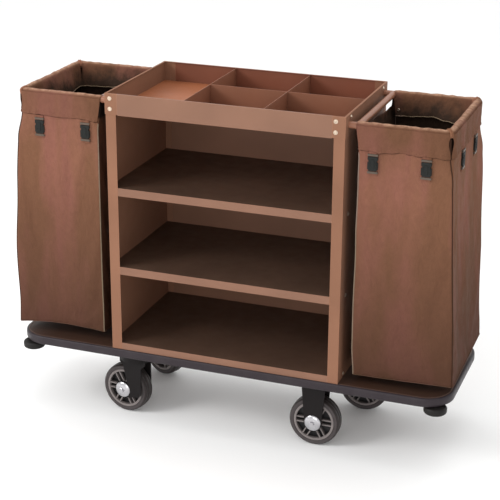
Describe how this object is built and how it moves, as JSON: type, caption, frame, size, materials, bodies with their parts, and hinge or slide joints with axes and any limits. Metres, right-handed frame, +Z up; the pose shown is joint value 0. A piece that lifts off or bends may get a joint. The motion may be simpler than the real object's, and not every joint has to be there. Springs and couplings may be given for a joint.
{
  "type": "housekeeping cart",
  "caption": "Open-fronted hotel housekeeping cart with shelves, divided top tray, hanging linen bags at both ends, bumper base, casters and corner rollers.",
  "frame": {"origin": "on the floor under the middle of the base", "axes": "+X along the cart to the end with the fixed caster, +Y to the closed back, +Z up"},
  "size_m": [1.346, 0.433, 1.016],
  "materials": {
    "cabinet_paint": "satin copper brown powder coat",
    "shelf_paint": "satin dark brown powder coat",
    "tray_paint": "satin red brown powder coat",
    "deck": "dark brown grained board with sealed faces",
    "bumper_rubber": "soft matte rubber",
    "frame_paint": "satin powder coated tube",
    "bag_fabric": "coated woven cloth with a dull sheen",
    "buckle_plastic": "moulded black plastic",
    "fork_paint": "satin charcoal paint",
    "zinc": "zinc plated steel",
    "cap_chrome": "polished dome",
    "wheel_plastic": "moulded light grey plastic",
    "tyre_rubber": "non-marking grey rubber",
    "roller_rubber": "dark solid rubber"
  },
  "bodies": {
    "cart": {"base_plate": "deck", "edge_bumper": "bumper_rubber", "left_side_panel": "cabinet_paint", "right_side_panel": "cabinet_paint", "back_panel": "cabinet_paint", "upper_shelf": "shelf_paint", "middle_shelf": "shelf_paint", "bottom_shelf": "shelf_paint", "tray_floor": "tray_paint", "front_apron": "cabinet_paint", "rear_apron": "cabinet_paint", "left_tray_side": "cabinet_paint", "right_tray_side": "cabinet_paint", "left_cross_divider": "tray_paint", "right_cross_divider": "tray_paint", "long_divider": "tray_paint", "tray_screws": "zinc", "shelf_screws": "zinc", "left_bag_frame": "frame_paint", "right_bag_frame": "frame_paint", "left_bag": "bag_fabric", "right_bag": "bag_fabric", "left_bag_buckles": "buckle_plastic", "right_bag_buckles": "buckle_plastic", "caster_bolts": "zinc", "roller_bolts": "zinc", "front_left_mounting_plate": "zinc", "front_left_kingpin": "zinc", "rear_left_mounting_plate": "zinc", "rear_left_kingpin": "zinc", "front_right_mounting_plate": "zinc", "front_right_fork": "fork_paint", "front_right_axle": "zinc", "front_right_axle_caps": "cap_chrome", "rear_right_mounting_plate": "zinc", "rear_right_kingpin": "zinc"},
    "front_left_swivel": {"front_left_fork": "fork_paint", "front_left_axle": "zinc", "front_left_axle_caps": "cap_chrome"},
    "front_left_wheel": {"front_left_wheel_centre": "wheel_plastic", "front_left_tyre": "tyre_rubber"},
    "rear_left_swivel": {"rear_left_fork": "fork_paint", "rear_left_axle": "zinc", "rear_left_axle_caps": "cap_chrome"},
    "rear_left_wheel": {"rear_left_wheel_centre": "wheel_plastic", "rear_left_tyre": "tyre_rubber"},
    "front_right_wheel": {"front_right_wheel_centre": "wheel_plastic", "front_right_tyre": "tyre_rubber"},
    "rear_right_swivel": {"rear_right_fork": "fork_paint", "rear_right_axle": "zinc", "rear_right_axle_caps": "cap_chrome"},
    "rear_right_wheel": {"rear_right_wheel_centre": "wheel_plastic", "rear_right_tyre": "tyre_rubber"},
    "front_left_corner_roller": {"front_left_corner_roller": "roller_rubber"},
    "front_right_corner_roller": {"front_right_corner_roller": "roller_rubber"},
    "rear_left_corner_roller": {"rear_left_corner_roller": "roller_rubber"},
    "rear_right_corner_roller": {"rear_right_corner_roller": "roller_rubber"}
  },
  "joints": [
    {"name": "front_left_swivel_turn", "type": "hinge", "parent": "cart", "child": "front_left_swivel", "pos_m": [-0.305, -0.134, 0.187], "axis": [0, 0, 1], "continuous": true},
    {"name": "front_left_wheel_spin", "type": "hinge", "parent": "front_left_swivel", "child": "front_left_wheel", "pos_m": [-0.33966, -0.12913, 0.076], "axis": [-0.1392, -0.9903, 0], "continuous": true},
    {"name": "rear_left_swivel_turn", "type": "hinge", "parent": "cart", "child": "rear_left_swivel", "pos_m": [-0.305, 0.134, 0.187], "axis": [0, 0, 1], "continuous": true},
    {"name": "rear_left_wheel_spin", "type": "hinge", "parent": "rear_left_swivel", "child": "rear_left_wheel", "pos_m": [-0.33697, 0.14824, 0.076], "axis": [-0.4067, -0.9135, 0], "continuous": true},
    {"name": "front_right_wheel_spin", "type": "hinge", "parent": "cart", "child": "front_right_wheel", "pos_m": [0.265, -0.134, 0.076], "axis": [0, -1, 0], "continuous": true},
    {"name": "rear_right_swivel_turn", "type": "hinge", "parent": "cart", "child": "rear_right_swivel", "pos_m": [0.305, 0.134, 0.187], "axis": [0, 0, 1], "continuous": true},
    {"name": "rear_right_wheel_spin", "type": "hinge", "parent": "rear_right_swivel", "child": "rear_right_wheel", "pos_m": [0.34, 0.134, 0.076], "axis": [0, 1, 0], "continuous": true},
    {"name": "front_left_corner_roller_spin", "type": "hinge", "parent": "cart", "child": "front_left_corner_roller", "pos_m": [-0.628, -0.1835, 0.1962], "axis": [0, 0, 1], "continuous": true},
    {"name": "front_right_corner_roller_spin", "type": "hinge", "parent": "cart", "child": "front_right_corner_roller", "pos_m": [0.628, -0.1835, 0.1962], "axis": [0, 0, 1], "continuous": true},
    {"name": "rear_left_corner_roller_spin", "type": "hinge", "parent": "cart", "child": "rear_left_corner_roller", "pos_m": [-0.628, 0.1835, 0.1962], "axis": [0, 0, 1], "continuous": true},
    {"name": "rear_right_corner_roller_spin", "type": "hinge", "parent": "cart", "child": "rear_right_corner_roller", "pos_m": [0.628, 0.1835, 0.1962], "axis": [0, 0, 1], "continuous": true}
  ]
}
